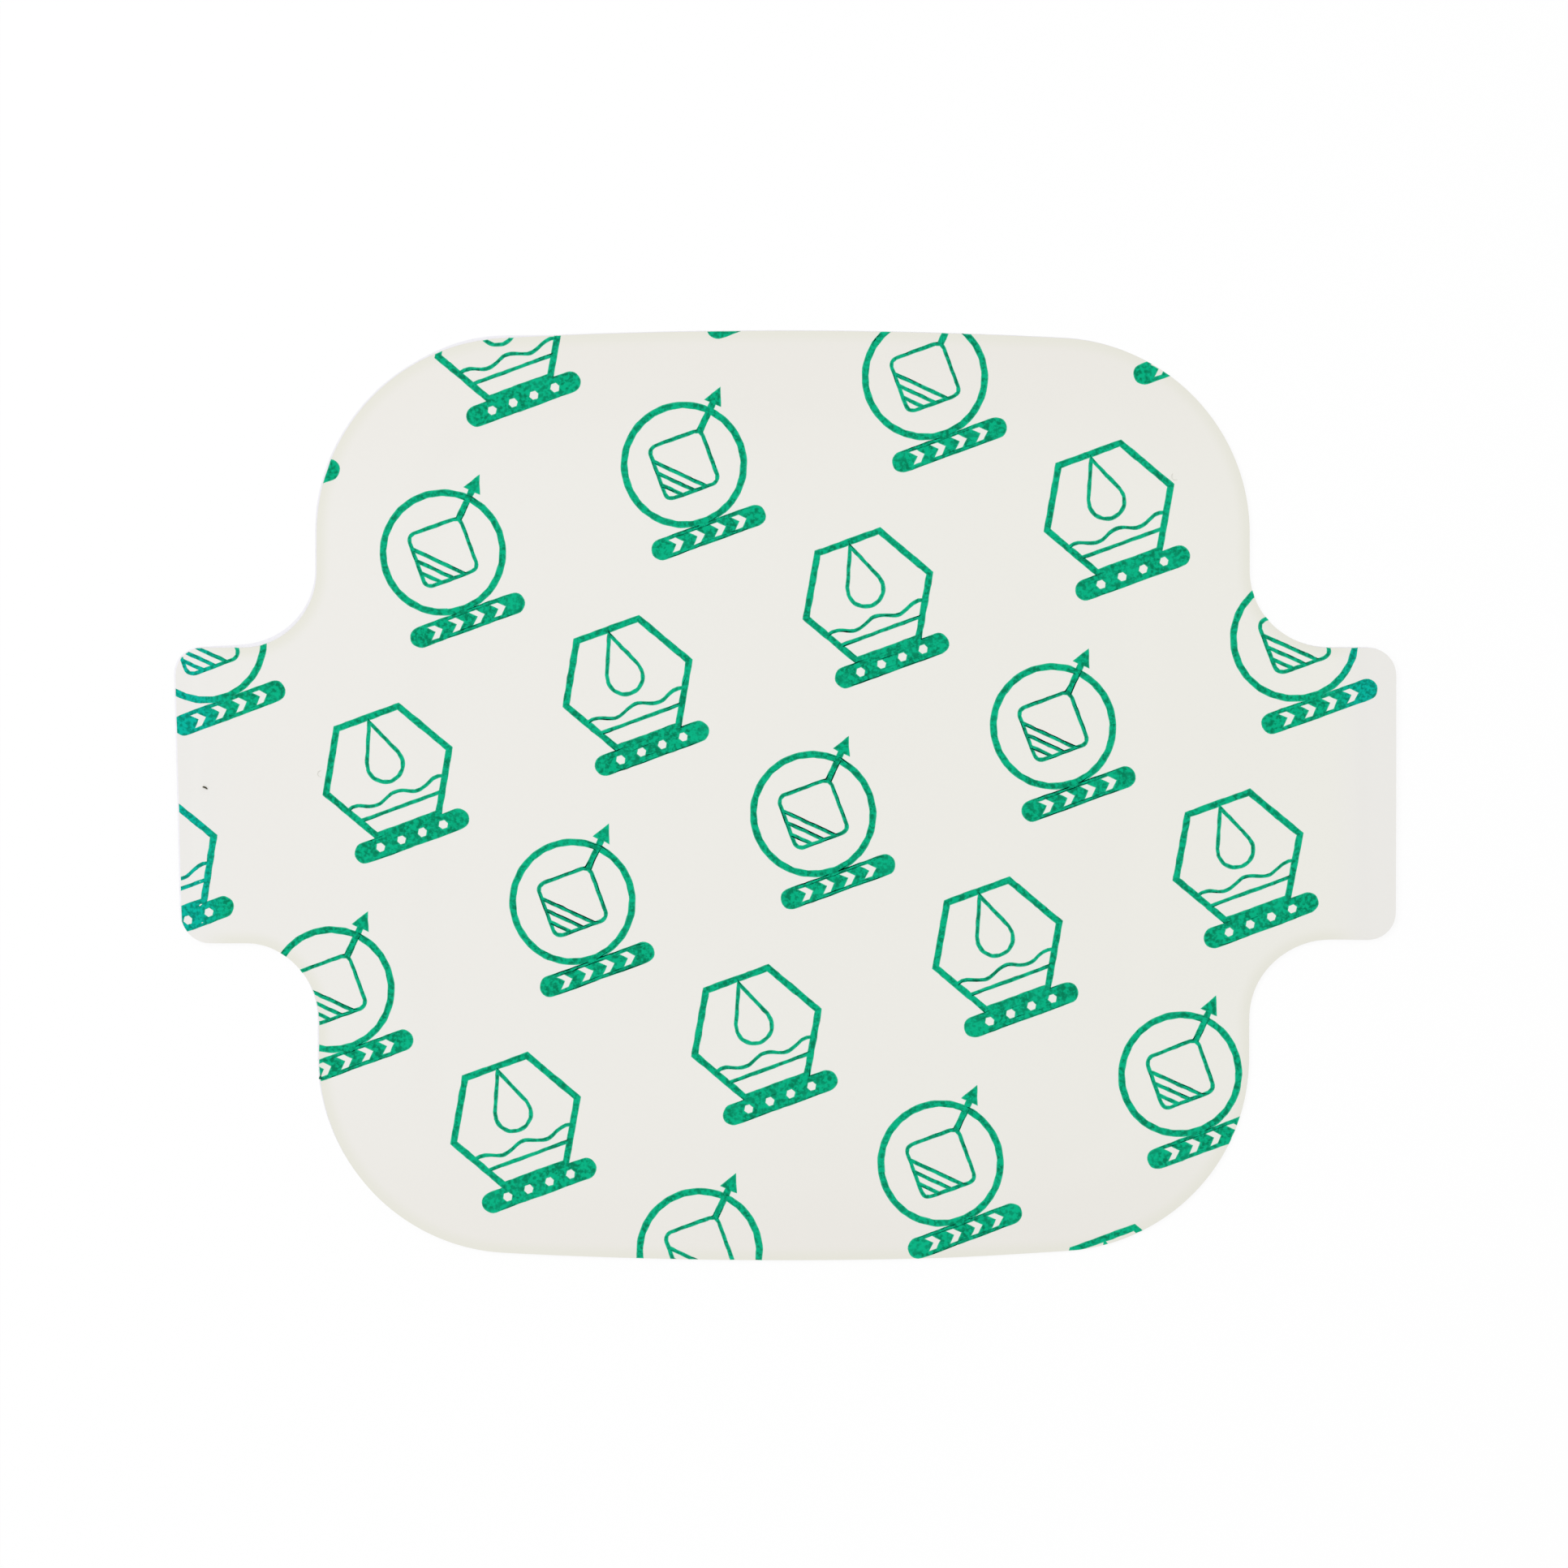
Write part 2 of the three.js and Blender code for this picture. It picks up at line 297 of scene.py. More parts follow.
def wall_faces(lower, upper):
    """Quads between two closed rings of point numbers, facing out if they run counter-clockwise."""
    return np.stack([lower, np.roll(lower, -1), np.roll(upper, -1), upper], axis=-1)


rim_crowding = 1.25


def sheet_grid(line, rings):
    """Point (i, j) of a (2 rings + 1) square table: with a = i / rings and b = j / rings, the ring
    is r = max(|a|, |b|), the place along the line is the share of the way round that square ring,
    and the way out is 1 - (1 - r)^rim_crowding, so that rings crowd towards the edge."""
    a, b = np.meshgrid(np.linspace(-1, 1, 2 * rings + 1), np.linspace(-1, 1, 2 * rings + 1), indexing="ij")
    r = np.maximum(np.abs(a), np.abs(b))
    safe = np.maximum(r, 1e-9)
    side = [(a >= r) & (r > 0), b >= r, a <= -r]
    round_share = np.select(side, [b / safe, 2 - a / safe, 4 - b / safe], 6 + a / safe) / 8
    out = 1 - (1 - r) ** rim_crowding
    return spread_evenly(line, round_share) * out[..., None]


def rim_of(numbers):
    """The numbers on the edge of a square table, counter-clockwise, each once."""
    return np.concatenate([numbers[-1, :-1], numbers[:0:-1, -1], numbers[0, :0:-1], numbers[:-1, 0]])


def sheet_piece(name, line, middle, rings, base, thickness):
    """A closed sheet: the grid at height base(x, y) plus the thickness, the same grid at the base,
    turned over, and a wall round the rim."""
    flat = sheet_grid(line, rings) + middle[:2]
    x, y = as_cut(flat[..., 0], flat[..., 1])
    below = base(x, y)
    count = x.size
    points = np.concatenate([
        np.stack([x, y, below + thickness], axis=-1).reshape(-1, 3),
        np.stack([x, y, below], axis=-1).reshape(-1, 3),
    ])
    numbers = np.arange(count).reshape(x.shape)
    rim = rim_of(numbers)
    faces = np.concatenate([
        grid_faces(numbers),
        grid_faces(numbers + count)[:, ::-1],
        wall_faces(rim + count, rim),
    ])
    return mesh_piece(name, points, faces), points


# %% [markdown]
# ## The release liner
# The liner is the cream paper on top, and most of what the picture shows. It keeps the full cut
# line. Two numbers are stored on its points for its colour: how near the cut edge is, where the
# sheet is yellower in its own tone and gets painted shade, and how far a point is past the film,
# where it looks cooler.

# %% Make the liner
liner_rings = 96
liner_thickness = liner_high[2] - liner_low[2]
liner_sheet, liner_points = sheet_piece(
    "liner_sheet", cut_line, liner_middle, liner_rings, liner_base, liner_thickness
)


def distance_to_line(points, line):
    """Least distance of each point to the points of a line, in blocks to save memory."""
    blocks = np.array_split(points, 64)
    return np.concatenate([np.linalg.norm(b[:, None] - line[None], axis=2).min(axis=1) for b in blocks])


def store(piece, name, values):
    """Keeps one number for each point of a mesh, which a material can read by its name."""
    attribute = piece.data.attributes.new(name, "FLOAT", "POINT")
    attribute.data.foreach_set("value", values.astype(np.float32))


rim_range = (0.1, 1.6)
edge_points = 1400
liner_edge = spread_evenly(cut_line, np.linspace(0, 1, edge_points, endpoint=False)) + liner_middle[:2]
liner_edge = np.stack(as_cut(*liner_edge.T), axis=-1)
to_edge = distance_to_line(liner_points[:, :2], liner_edge)
at_tip = off_film(liner_points[:, 0])
# rim: where the cut edge gets painted shade over its own yellower tone
store(liner_sheet, "rim", (1 - smoothstep(*rim_range, to_edge)) * (1 - at_tip))
store(liner_sheet, "tip", at_tip)

# %% [markdown]
# ## The adhesive film
# The film comes from a narrower roll than the paper, so it is the same cut line with x cut off at
# the roll's two edges. It is clear and hidden by the liner, but its edge is part of the stack's
# edge, and seen from below it closes the window.

# %% Make the film
film_rings = 60
roll_from, roll_to = film_low[0] - liner_middle[0], film_high[0] - liner_middle[0]
film_line = np.stack([np.clip(cut_line[:, 0], roll_from, roll_to), cut_line[:, 1]], axis=-1)
film_sheet, _ = sheet_piece(
    "film_sheet", film_line, liner_middle, film_rings, film_base, film_thickness - sheet_gap
)

# %% [markdown]
# ## The paper frame
# The frame is the white paper under everything. Its spokes run from the window's edge to the cut
# line. Both ends of a spoke lie in the same direction from the middle, so that no two cross. It
# slipped against the liner when the sheets were laid together, which shows as a white thread at
# the upper left of the body and over the left tab, and hardly anywhere else.

# %% Make the paper frame
spokes = 1000
spoke_points = 17
window_points = 4000
paper_back = 0.12
shows_at_body = (-41.0, -24.0, 0.24)
shows_at_tab = (-64.0, -47.0, 0.34)


def paper_creep(x, y):
    """How far up the paper lies from its mean place: back by paper_back, and out again by a smooth
    hump, 16 t^2 (1 - t)^2, over each stretch of x from start to end on the upper side."""
    up = np.full_like(x, -paper_back)
    for start, end, reach in (shows_at_body, shows_at_tab):
        t = np.clip((x - start) / (end - start), 0, 1)
        up += reach * 16 * t**2 * (1 - t) ** 2
    return up * smoothstep(0, tab_height / 2, y)


def window_edge(direction):
    """Points of the window's edge in the given directions from its middle: the radius of a dense
    rounded rectangle is interpolated over its angle."""
    cx, cy = window_half - window_corner_radius
    edge = np.concatenate([
        arc(cx, cy, window_corner_radius, 0, math.pi / 2),
        arc(-cx, cy, window_corner_radius, math.pi / 2, math.pi),
        arc(-cx, -cy, window_corner_radius, math.pi, 1.5 * math.pi),
        arc(cx, -cy, window_corner_radius, 1.5 * math.pi, 2 * math.pi),
    ])
    edge = spread_evenly(edge, np.linspace(0, 1, window_points, endpoint=False))
    angle = np.arctan2(edge[:, 1], edge[:, 0])
    radius = np.interp(direction, np.sort(angle), np.hypot(*edge.T)[np.argsort(angle)], period=2 * math.pi)
    return np.stack([radius * np.cos(direction), radius * np.sin(direction)], axis=-1)


def frame_piece(name):
    """A closed ring: spokes from window to cut line at two heights, and a wall at each end."""
    outer = spread_evenly(cut_line, np.linspace(0, 1, spokes, endpoint=False))
    inner = window_edge(np.arctan2(outer[:, 1], outer[:, 0]))
    way = np.linspace(0, 1, spoke_points)[:, None, None]
    flat = inner * (1 - way) + outer * way + carrier_middle[:2]
    x, y = as_cut(flat[..., 0], flat[..., 1])
    y = y + paper_creep(x, y) * way[..., 0]
    below = lift(x, y)
    thickness = carrier_high[2] - carrier_low[2]
    points = np.concatenate([
        np.stack([x, y, below + thickness], axis=-1).reshape(-1, 3),
        np.stack([x, y, below], axis=-1).reshape(-1, 3),
    ])
    numbers = np.arange(x.size).reshape(x.shape)
    closed = np.concatenate([numbers, numbers[:, :1]], axis=1)
    faces = np.concatenate([
        grid_faces(closed),
        grid_faces(closed + x.size)[:, ::-1],
        wall_faces(numbers[-1] + x.size, numbers[-1]),
        wall_faces(numbers[0], numbers[0] + x.size),
    ])
    return mesh_piece(name, points, faces)


paper_carrier = frame_piece("paper_carrier")

# %% [markdown]
# ## The print
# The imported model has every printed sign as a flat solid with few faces, whose round lines are
# made of short straight ones. Once its edges are halved, their points can be moved onto the true
# circle or wave: a sign's place in its row and column gives its middle, and from there the
# circles are known.

# %% Where the signs are
print_pitch = 27.6
row_pitch = 20.0
print_tilt = math.radians(20)
print_shift = np.array([3.0, -2.0])
bold_line = 0.72
fine_line = 0.42
ring_radius = 6.8
patch_side = 6.4
patch_corner_radius = 1.0
hexagon_radius = 7.5
drop_radius = 2.15
drop_height = 0.8
wave_height = 0.7
wave_length = 4.8
wave_gap = 1.35
label_length = 13.0
label_height = 2.3
label_seat = 0.2
dots = 4
dot_radius = 0.5
dot_pitch = 2.4
print_nodes = sorted(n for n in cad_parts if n.startswith("print_"))


def to_sign(x, y):
    """Coordinates (a, b) from the middle of the nearest sign, the sign's middle, and whether it
    is one of the six-sided signs in the odd rows, which stand half a pitch further along."""
    u, v = x - liner_middle[0] - print_shift[0], y - liner_middle[1] - print_shift[1]
    c, s = math.cos(print_tilt), math.sin(print_tilt)
    u, v = u * c + v * s, v * c - u * s
    row = np.round(v / row_pitch)
    odd = row % 2 == 1
    middle_u = (np.round(u / print_pitch - odd / 2) + odd / 2) * print_pitch
    middle_v = row * row_pitch
    return u - middle_u, v - middle_v, middle_u, middle_v, odd


def from_sign(a, b, middle_u, middle_v):
    """The way back from a sign's coordinates to the sheet's."""
    u, v = a + middle_u, b + middle_v
    c, s = math.cos(print_tilt), math.sin(print_tilt)
    x, y = u * c - v * s, u * s + v * c
    return x + liner_middle[0] + print_shift[0], y + liner_middle[1] + print_shift[1]


print(f"{len(print_nodes)} printed nodes, {print_pitch} mm apart in rows with {row_pitch} mm between them")

# %% Round what is round
facet_depth = 0.085
beyond_circle = 0.01
bulb_top = 1.12
wave_reach = 4.5


def onto_circle(a, b, where, middle_a, middle_b, radius):
    """Points where that holds, and that lie less than a facet's depth inside the circle, move
    out to it along their radius."""
    r = np.hypot(a - middle_a, b - middle_b)
    near = where & (r > radius - facet_depth) & (r < radius + beyond_circle)
    grow = np.where(near, radius / np.maximum(r, 1e-9), 1)
    return middle_a + (a - middle_a) * grow, middle_b + (b - middle_b) * grow


def onto_wave(a, b, where, middle_b):
    """Points close to either edge of the wavy line move up or down onto it."""
    crest = middle_b + wave_height / 2 * np.cos(2 * math.pi * a / wave_length)
    for edge in (crest - fine_line / 2, crest + fine_line / 2):
        b = np.where(where & (np.abs(b - edge) < facet_depth / 2), edge, b)
    return a, b


def rounded(x, y):
    """The ring, the patch's corners, the drop, the wave, the labels' ends and the dots."""
    a, b, middle_u, middle_v, odd = to_sign(x, y)
    for radius in (ring_radius, ring_radius - bold_line):
        a, b = onto_circle(a, b, ~odd, 0, 0, radius)
    corner = patch_side / 2 - patch_corner_radius
    in_corner = ~odd & (np.abs(a) > corner) & (np.abs(b) > corner)
    for radius in (patch_corner_radius, patch_corner_radius - fine_line):
        a, b = onto_circle(a, b, in_corner, np.sign(a) * corner, np.sign(b) * corner, radius)
    for radius in (drop_radius, drop_radius - fine_line):
        a, b = onto_circle(a, b, odd & (b < bulb_top), 0, drop_height, radius)
    a, b = onto_wave(a, b, odd & (np.abs(a) < wave_reach), drop_height - drop_radius - wave_gap)
    flat = hexagon_radius * math.sqrt(3) / 2
    label_b = np.where(odd, -flat, -ring_radius) + label_seat - label_height / 2
    end = (label_length - label_height) / 2
    a, b = onto_circle(a, b, np.abs(a) > end, np.sign(a) * end, label_b, label_height / 2)
    for k in range(dots):
        a, b = onto_circle(a, b, odd, (k - (dots - 1) / 2) * dot_pitch, label_b, dot_radius)
    return from_sign(a, b, middle_u, middle_v)


print(f"Facets are rounded where they lie up to {facet_depth} mm inside a circle")

# %% [markdown]
# Copies of the signs are joined and their edges are halved until they are short. An inset along
# the edge marks the thinner ink there, which prints lighter than the middle of a line. Then every
# point moves: onto the true circles, sideways by a fraction of a line's width, because ink on a
# coated paper has no ruler-straight edge, and up or down onto the liner.

# %% Make the print
merge_within = 1e-6
rim_angle = 1.0
rim_step = 0.5
inner_step = 1.6
halvings = 4
ink_band = 0.11
ink_above = 0.012
ink_sunk = 0.01
wobble = 0.035


def sideways(x, y):
    """Small shifts (dx, dy): sums of two sine waves across each other, 1 to 2 mm long."""
    dx = np.sin(5.1 * x + 2.3 * y) + np.sin(3.3 * y - 1.9 * x + 1.0)
    dy = np.sin(4.7 * y - 2.9 * x + 0.5) + np.sin(3.1 * x + 1.7 * y + 2.0)
    return wobble * dx / 2, wobble * dy / 2


def points_mm(mesh):
    """The points of a mesh as x, y and z in millimetres."""
    place = np.empty(3 * len(mesh.vertices), np.float32)
    mesh.vertices.foreach_get("co", place)
    return place.astype(float).reshape(-1, 3).T / MM


def shorten_edges(work):
    """Halves the edges that are too long, a few times over. Those on the rim of the ink, where two
    faces meet at more than rim_angle radians, count as too long sooner."""
    for _ in range(halvings):
        rim = [e for e in work.edges if e.is_manifold and e.calc_face_angle() > rim_angle]
        long_edges = [e for e in rim if e.calc_length() > rim_step * MM]
        long_edges += [e for e in work.edges if e.calc_length() > inner_step * MM]
        bmesh.ops.subdivide_edges(work, edges=list(set(long_edges)), cuts=1)
        bmesh.ops.triangulate(work, faces=[f for f in work.faces if len(f.verts) > 3])


def inset_upper_side(work):
    """Insets the upper side of the ink, and stores 1 in "core" for the points that the inset
    leaves in the middle of a line."""
    core = work.verts.layers.float.new("core")
    upper = [f for f in work.faces if f.normal.z > 0.5]
    bmesh.ops.inset_region(
        work, faces=upper, thickness=ink_band * MM, use_boundary=True, use_even_offset=True
    )
    for face in upper:
        for vert in face.verts:
            vert[core] = 1.0
    for face in work.faces:
        face.smooth = False


def ink_mesh(name, names):
    """Copies of the named nodes in one mesh, with the points of their loose triangles merged. The
    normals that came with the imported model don't fit the new points and are dropped."""
    mesh = bpy.data.meshes.new(name)
    work = bmesh.new()
    for node in names:
        work.from_mesh(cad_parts[node].data)
    bmesh.ops.remove_doubles(work, verts=work.verts, dist=merge_within)
    shorten_edges(work)
    inset_upper_side(work)
    work.to_mesh(mesh)
    work.free()
    if mesh.has_custom_normals:
        mesh.attributes.remove(mesh.attributes["custom_normal"])
    return mesh


def print_piece(name, names):
    """The signs draped on the liner: the height over it is ink_above for a point of the upper
    side and less than nothing for one of the lower side."""
    mesh = ink_mesh(name, names)
    x, y, z = points_mm(mesh)
    on_top = z > z.mean()
    x, y = rounded(x, y)
    dx, dy = sideways(x, y)
    x, y = as_cut(x, y)
    height = liner_base(x, y) + liner_thickness + np.where(on_top, ink_above, -ink_sunk)
    place = np.stack([x + dx, y + dy, height], axis=-1) * MM
    mesh.vertices.foreach_set("co", place.astype(np.float32).ravel())
    mesh.update()
    piece = bpy.data.objects.new(name, mesh)
    bpy.context.scene.collection.objects.link(piece)
    store(piece, "tip", off_film(x))
    triangles = sum(len(p.vertices) - 2 for p in mesh.polygons)
    print(f"{name}: {len(names)} signs, {len(mesh.vertices)} points, {triangles} triangles")
    return piece


green_print = print_piece("green_print", print_nodes)

# %% [markdown]
# ## Stray fibres
# A short dark fibre lies on the left tab, and two wisps of lint lie on the body, so faint that
# they only show close by. They are dirt and not part of the product, but they are on the sheet
# that the photograph shows. Each is a thin tube along an arc, whose radius runs out at both ends.

# %% Make the fibres
fibre_rings = 33
fibre_sides = 10
fibre_seat = 0.9


def fibre_piece(name, middle, bend_radius, start, sweep, radius):
    """Each ring of the tube stands at an angle w on the arc, from start through sweep degrees about
    the arc's middle. Its radius is that given times the root of 1 - s^4, with s from -1 to 1
    along the tube, which is seated a tenth of its radius deep on the liner."""
    round_tube = np.linspace(0, 2 * math.pi, fibre_sides, endpoint=False)
    s, turn = np.meshgrid(np.linspace(-1, 1, fibre_rings), round_tube, indexing="ij")
    thick = radius * np.sqrt(np.maximum(1 - s**4, 1e-3))
    w = np.radians(start + sweep * (s + 1) / 2)
    out = bend_radius + thick * np.cos(turn)
    x, y = middle[0] + out * np.cos(w), middle[1] + out * np.sin(w)
    z = liner_base(x, y) + liner_thickness + radius * fibre_seat + thick * np.sin(turn)
    points = np.stack([x, y, z], axis=-1).reshape(-1, 3)
    numbers = np.arange(s.size).reshape(s.shape)
    piece = mesh_piece(name, points, grid_faces(np.concatenate([numbers, numbers[:, :1]], axis=1)))
    shape = bmesh.new()
    shape.from_mesh(piece.data)
    bmesh.ops.holes_fill(shape, edges=[e for e in shape.edges if e.is_boundary])
    bmesh.ops.recalc_face_normals(shape, faces=shape.faces)
    shape.to_mesh(piece.data)
    shape.free()
    return piece


dark_fibre = fibre_piece("dark_fibre", (-62.58, 0.30), 0.52, 98, -66, 0.085)
lint_low = fibre_piece("lint_low", (-49.95, 2.25), 0.33, 75, 205, 0.035)
lint_high = fibre_piece("lint_high", (42.0, 34.25), 0.4, 130, 175, 0.035)

# %% [markdown]
# ## Working with shader sockets
# A material is a graph, but its maths reads best as plain expressions. The class below wraps one
# socket: arithmetic on it adds Math nodes, and its node method adds any other node.

# %% A socket that can be calculated with
class Wire:
    """A socket of a material. wire + 1, 1 - wire and wire * other add the Math node that says so."""

    def __init__(self, tree, socket=None):
        self.tree = tree
        self.socket = socket

    def node(self, kind, settings=None, inputs=None, output=0):
        """Adds a node: settings are set first, then the values or links of its inputs."""
        made = self.tree.nodes.new("ShaderNode" + kind)
        for name, value in (settings or {}).items():
            setattr(made, name, value)
        for name, value in (inputs or {}).items():
            if isinstance(value, Wire):
                self.tree.links.new(value.socket, made.inputs[name])
            else:
                made.inputs[name].default_value = value
        return Wire(self.tree, made.outputs[output])

    def math(self, operation, first, second):
        return self.node("Math", {"operation": operation}, {0: first, 1: second})

    def __add__(self, other):
        return self.math("ADD", self, other)

    def __sub__(self, other):
        return self.math("SUBTRACT", self, other)

    def __rsub__(self, other):
        return self.math("SUBTRACT", other, self)

    def __mul__(self, other):
        return self.math("MULTIPLY", self, other)

    def between(self, low, high):
        """0 below low, 1 above high, and a smooth step between them."""
        limits = {"Value": self, "From Min": low, "From Max": high}
        return self.node("MapRange", {"interpolation_type": "SMOOTHSTEP"}, limits)

    def mix(self, first, second):
        """The first colour where this socket is 0, the second where it is 1."""
        return self.node("Mix", {"data_type": "RGBA"}, {0: self, 6: first, 7: second}, 2)

    def noise(self, scale, detail=2.0, rough=0.5):
        """A number near 0.5 that wanders over the object, scale times in a metre."""
        place = self.node("TexCoord", output="Object")
        inputs = {"Vector": place, "Scale": scale, "Detail": detail, "Roughness": rough}
        return self.node("TexNoise", {}, inputs)


def material_of(name):
    """An empty material and a wire to add its nodes with."""
    material = bpy.data.materials.new(name)
    material.use_nodes = True
    material.node_tree.nodes.clear()
    return material, Wire(material.node_tree)


def finish_with(wire, shader):
    """Leads a shader to the material's output."""
    end = wire.tree.nodes.new("ShaderNodeOutputMaterial")
    wire.tree.links.new(shader.socket, end.inputs["Surface"])


def colour(red, green, blue):
    """A colour as a picture shows it, from 0 to 255, as the linear values that a shader takes."""
    c = np.array([red, green, blue]) / 255
    linear = np.where(c <= 0.04045, c / 12.92, ((c + 0.055) / 1.055) ** 2.4)
    return (*linear.tolist(), 1.0)


# %% [markdown]
# ## The liner's finish
# A release liner is a cream paper with a silicone coat: satin, nearly even, with a little cloud in
# it. Its colour drifts from cooler at the left to warmer at the right. Painted shade makes it darker
# and warmer towards the top and bottom edges, and darker along the cut edge, whose own tone is
# yellower. It is cooler where there is no film under it.

# %% The liner's material
sheet_radius = sheet_length / 2 * MM
end_radius = sheet_height / 2 * MM

liner_left = colour(237.6, 235.7, 231.3)
liner_right = colour(238.0, 236.8, 229.5)
# liner_shade_and_grain: painted shade of the top and bottom edges, and also the tone of the grain's specks
liner_shade_and_grain = colour(235.5, 232.5, 226.5)
# liner_rim_tint_and_shade: the cut edge's own yellower tone, darkened by painted shade
liner_rim_tint_and_shade = colour(231, 230, 219)
liner_tip = colour(236.5, 234.8, 231.4)


def liner_finish():
    """Cream paper with a satin coat, whose colour follows x, y, the rim and the tips, with painted shade
    towards the top and bottom edges and along the rim.
    """
    material, wire = material_of("liner_paper")
    place = wire.node("TexCoord", output="Object")
    x = place.node("SeparateXYZ", {}, {0: place}, "X")
    y = place.node("SeparateXYZ", {}, {0: place}, "Y")
    rim = wire.node("Attribute", {"attribute_name": "rim"}, output="Fac")
    tip = wire.node("Attribute", {"attribute_name": "tip"}, output="Fac")
    cloud = wire.noise(45, 3.0)
    grain = wire.noise(900, 2.0, 0.6)
    across = x * (0.5 / sheet_radius) + 0.5
    # Painted shade: darker and warmer towards the top and bottom edges, stirred with the cloud's own tone
    shaded_ends = (y * y).between((0.55 * end_radius) ** 2, end_radius**2)
    base = across.mix(liner_left, liner_right)
    base = (shaded_ends * 0.8 + (cloud - 0.5) * 0.5).mix(base, liner_shade_and_grain)
    base = (tip * 0.8).mix(base, liner_tip)
    # Painted shade along the cut edge, over the edge's own yellower tone
    base = (rim * 0.85).mix(base, liner_rim_tint_and_shade)
    base = (grain.between(0.62, 0.8) * 0.25).mix(base, liner_shade_and_grain)
    tooth = wire.noise(5200, 3.0, 0.6)
    bump = wire.node("Bump", {}, {"Strength": 0.12, "Distance": 0.00002, "Height": tooth + cloud * 0.4})
    shader = wire.node("BsdfPrincipled", {}, {
        "Base Color": base,
        "Roughness": tooth * 0.12 + 0.46,
        "Normal": bump,
        "Specular IOR Level": 0.35,
    })
    finish_with(wire, shader)
    return material


# %% [markdown]
# ## White paper and clear film
# The frame's paper is whiter than the liner, with the short fibres of an uncoated sheet. The film
# is polyurethane with adhesive: nearly clear, with a soft gloss that varies a little.

# %% The paper's and the film's materials
def paper_finish():
    """White uncoated paper with a fibrous grain."""
    material, wire = material_of("frame_paper")
    fibres = wire.noise(2600, 4.0, 0.65)
    cloud = wire.noise(160, 2.0)
    white, grey = colour(243, 242, 247), colour(235, 234, 240)
    base = (fibres.between(0.45, 0.75) * 0.5 + cloud * 0.2).mix(white, grey)
    bump = wire.node("Bump", {}, {"Strength": 0.25, "Distance": 0.00003, "Height": fibres})
    shader = wire.node("BsdfPrincipled", {}, {
        "Base Color": base,
        "Roughness": fibres * 0.1 + 0.72,
        "Normal": bump,
        "Specular IOR Level": 0.3,
    })
    finish_with(wire, shader)
    return material


def film_finish():
    """A clear film with a slight haze."""
    material, wire = material_of("clear_film")
    haze = wire.noise(300, 3.0)
    shader = wire.node("BsdfPrincipled", {}, {
        "Base Color": haze.mix(colour(250, 251, 250), colour(240, 243, 242)),
        "Roughness": haze * 0.2 + 0.15,
        "Alpha": haze * 0.15 + 0.28,
        "Specular IOR Level": 0.5,
    })
    finish_with(wire, shader)
    return material


# %% [markdown]
# ## Ink
# The ink is a flexographic green. It is darkest in blotches along the middle of a line, lighter in
# the thin band at its edges, and more blue at the sheet's tips.

# %% The ink's material
def ink_finish():
    """Green ink, with the inset's "core" telling the middle of a line from its edge."""
    material, wire = material_of("green_ink")
    core = wire.node("Attribute", {"attribute_name": "core"}, output="Fac")
    tip = wire.node("Attribute", {"attribute_name": "tip"}, output="Fac")
    blotch = wire.noise(2300, 3.0, 0.6)
    patch = wire.noise(500, 2.0)
    green = blotch.between(0.38, 0.6).mix(colour(0, 126, 88), colour(3, 179, 131))
    green = (patch.between(0.4, 0.7) * 0.35).mix(green, colour(12, 188, 142))
    edge = (1 - core) * 0.75
    green = edge.mix(green, colour(66, 200, 162))
    teal = blotch.between(0.38, 0.6).mix(colour(0, 140, 122), colour(4, 184, 166))
    green = (tip * 0.8).mix(green, teal)
    shader = wire.node("BsdfPrincipled", {}, {
        "Base Color": green,
        "Roughness": blotch * 0.15 + 0.5,
        "Specular IOR Level": 0.04,
    })
    finish_with(wire, shader)
    return material


def fibre_finish(name, dark, light):
    """A dull thread whose colour wanders between a dark and a light one."""
    material, wire = material_of(name)
    shade = wire.noise(6000, 2.0)
    base = shade.between(0.35, 0.65).mix(dark, light)
    shader = wire.node("BsdfPrincipled", {}, {"Base Color": base, "Roughness": shade * 0.2 + 0.6})
    finish_with(wire, shader)
    return material


# %% [markdown]
# ## Each piece gets its finish and its place in the model
# Every piece rides on the one body and stands for its node of the imported model, which is hidden.
# The fibres stand for nothing, since they are only dirt.

# %% Dress the pieces
def dress(piece, material, nodes=()):
    """Gives a piece its material, its body and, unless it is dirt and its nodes."""
    piece.data.materials.clear()
    piece.data.materials.append(material)
    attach(piece, "root")
    if nodes:
        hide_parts(*nodes)


dress(paper_carrier, paper_finish(), ["carrier_frame"])
dress(film_sheet, film_finish(), ["dressing_film"])
dress(liner_sheet, liner_finish(), ["release_liner"])
dress(green_print, ink_finish(), print_nodes)
dress(dark_fibre, fibre_finish("brown_fibre", colour(38, 35, 18), colour(80, 74, 46)))
lint_grey = fibre_finish("lint_grey", colour(222, 221, 214), colour(230, 229, 222))
dress(lint_low, lint_grey)
dress(lint_high, lint_grey)

# %% [markdown]
# ## Bench and light
# The photograph has a plain white ground and hardly a shadow. The bench is white, and what the
# camera sees of it is mostly its own light of strength 1, so that it is as white as the picture's
# ground while it still keeps a faint shadow. The light on the dressing stays plain: an even white
# surround, and one wide lamp at the upper left that lets the window's relief show.

# %% The bench
bench_drop = 0.02
bench_half = 1.5
bench_glow = 0.88


def seen_or_mirrored(wire):
    """1 for a ray that the camera, a gloss or a clear film sends out, 0 for light on its way."""
    path = wire.node("LightPath", output="Is Camera Ray")
    gloss = wire.node("LightPath", output="Is Glossy Ray")
    through = wire.node("LightPath", output="Is Transmission Ray")
    return wire.node("Clamp", {}, {"Value": path + gloss + through})


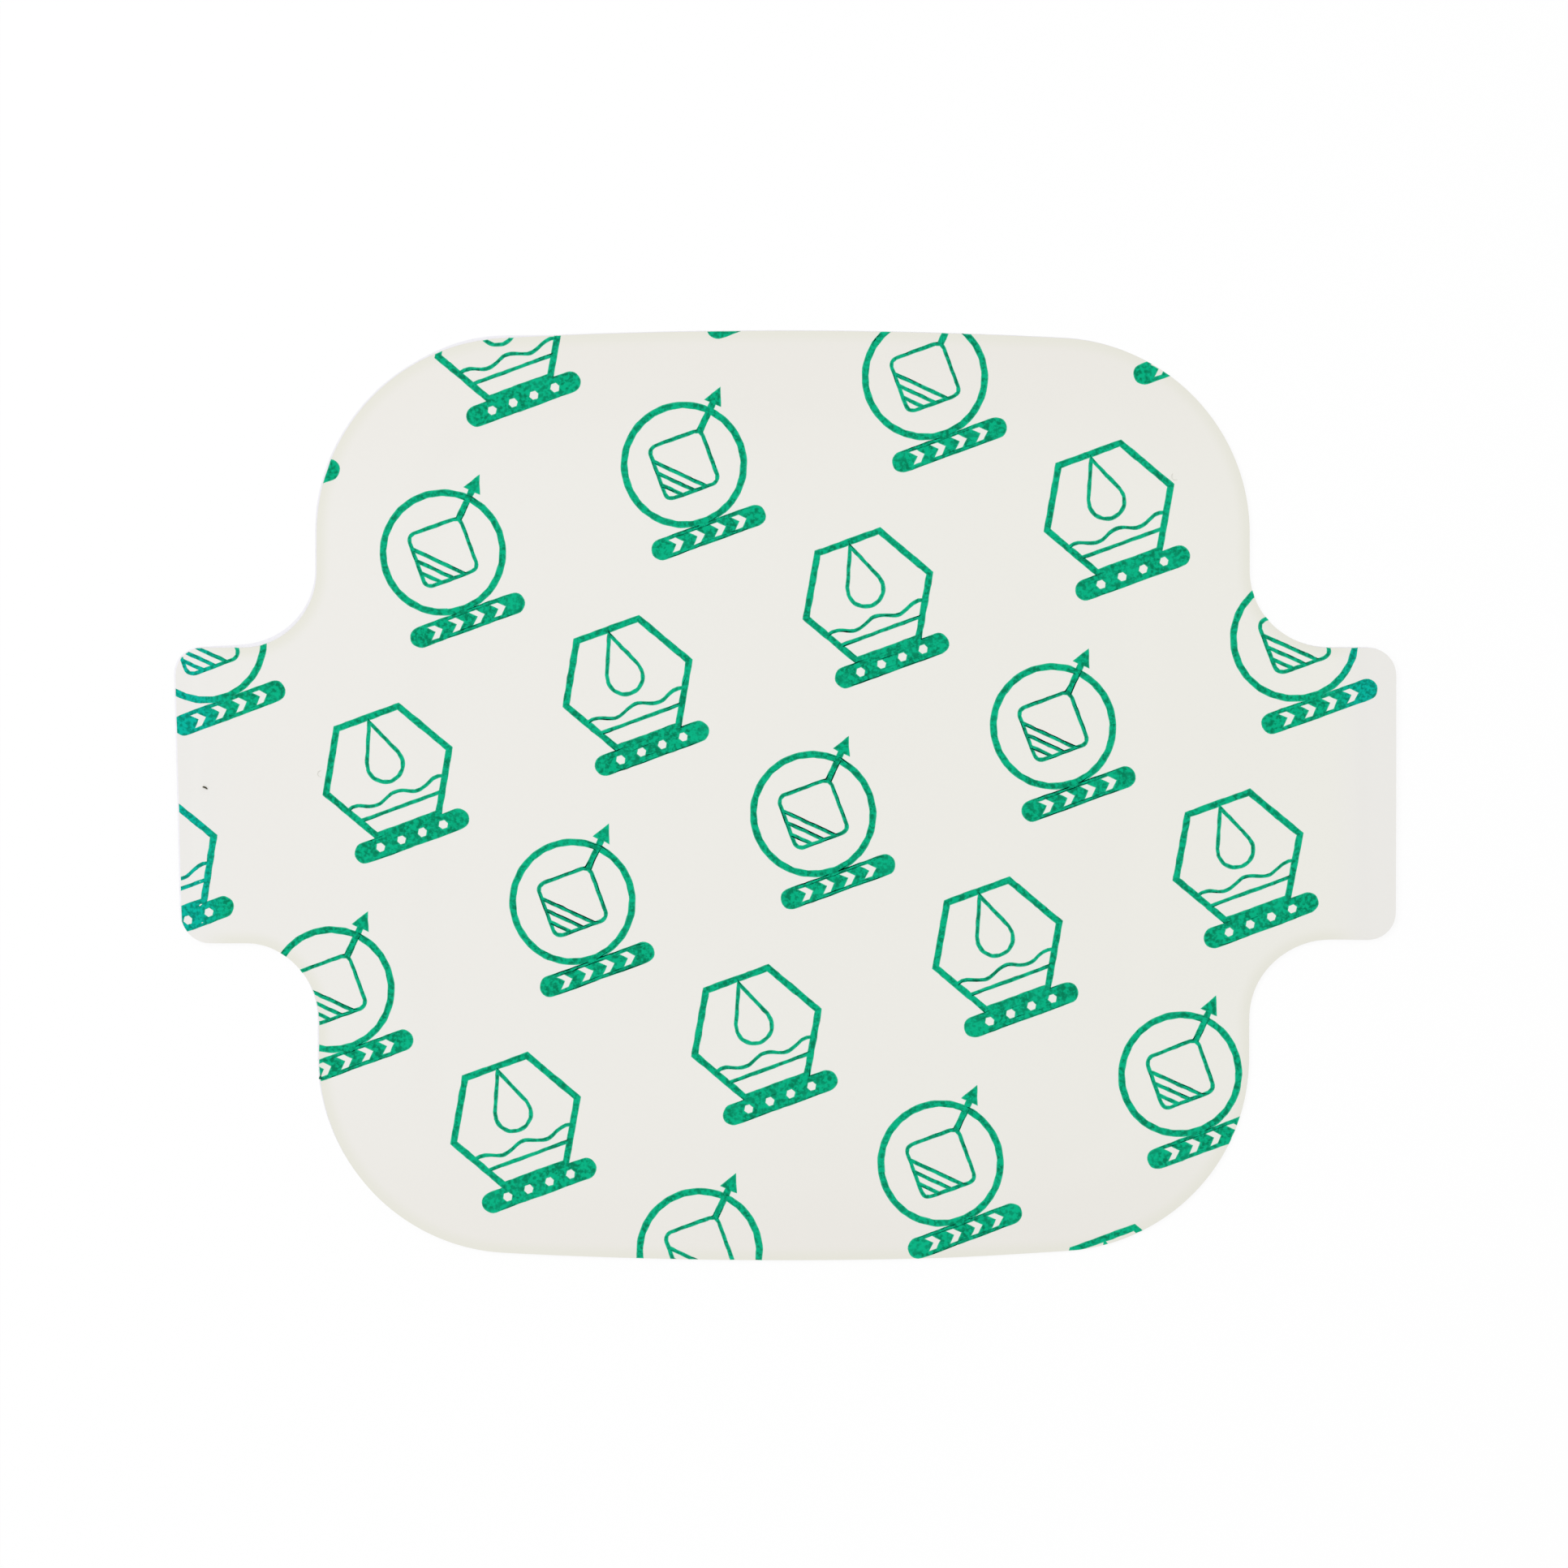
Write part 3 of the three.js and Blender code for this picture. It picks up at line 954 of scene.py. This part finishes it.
def bench_finish():
    """White, and mostly glowing for the camera's rays."""
    material, wire = material_of("white_bench")
    white = wire.node("BsdfDiffuse", {}, {"Color": (1.0, 1.0, 1.0, 1.0)})
    glow = wire.node("Emission", {}, {"Color": (1.0, 1.0, 1.0, 1.0), "Strength": 1.0})
    shader = wire.node("MixShader", {}, {0: seen_or_mirrored(wire) * bench_glow, 1: white, 2: glow})
    finish_with(wire, shader)
    return material


corners = np.array([[-1, -1], [1, -1], [1, 1], [-1, 1]]) * bench_half / MM
bench_points = np.column_stack([corners, np.full(4, -bench_drop)])
bench = mesh_piece("bench", bench_points, np.array([[0, 1, 2, 3]]))
bench.data.materials.append(bench_finish())

# %% The surround and the lamp
surround_light = 0.76
lamp_place = np.array([-0.75, 0.45, 0.95])
lamp_size = 0.7
lamp_power = 5.5

world = bpy.data.worlds.new("white_surround")
world.use_nodes = True
world.node_tree.nodes.clear()
air = Wire(world.node_tree)
strength = seen_or_mirrored(air) * (1 - surround_light) + surround_light
background = air.node("Background", {}, {"Color": (1.0, 1.0, 1.0, 1.0), "Strength": strength})
world_end = world.node_tree.nodes.new("ShaderNodeOutputWorld")
world.node_tree.links.new(background.socket, world_end.inputs["Surface"])
bpy.context.scene.world = world

lamp_data = bpy.data.lights.new("lamp", "AREA")
lamp_data.size = lamp_size
lamp_data.energy = lamp_power
lamp = bpy.data.objects.new("lamp", lamp_data)
lamp.location = lamp_place
lamp.rotation_euler = (-lamp.location).to_track_quat("-Z", "Y").to_euler()
bpy.context.scene.collection.objects.link(lamp)

# %% [markdown]
# ## Camera
# The picture was taken from straight above. A long lens high over the sheet keeps its outline
# true. The picture is 1932 pixels wide at 11.45 pixels to the millimetre, and its middle lies a
# little above the middle of the sheet.

# %% The camera
picture_pixels = 1932
pixels_per_mm = 11.45
picture_middle = np.array([-0.09, 1.14])
lens = 200.0
sensor = 36.0

camera_data = bpy.data.cameras.new("camera")
camera_data.lens = lens
camera_data.sensor_width = sensor
camera = bpy.data.objects.new("camera", camera_data)
view_width = picture_pixels / pixels_per_mm
camera_height = view_width * lens / sensor + liner_high[2]
camera.location = (picture_middle[0] * MM, picture_middle[1] * MM, camera_height * MM)
bpy.context.scene.collection.objects.link(camera)
bpy.context.scene.camera = camera
bpy.context.scene.view_settings.view_transform = "Standard"
print(f"The camera looks down from {camera_height:.0f} mm and sees {view_width:.1f} mm")
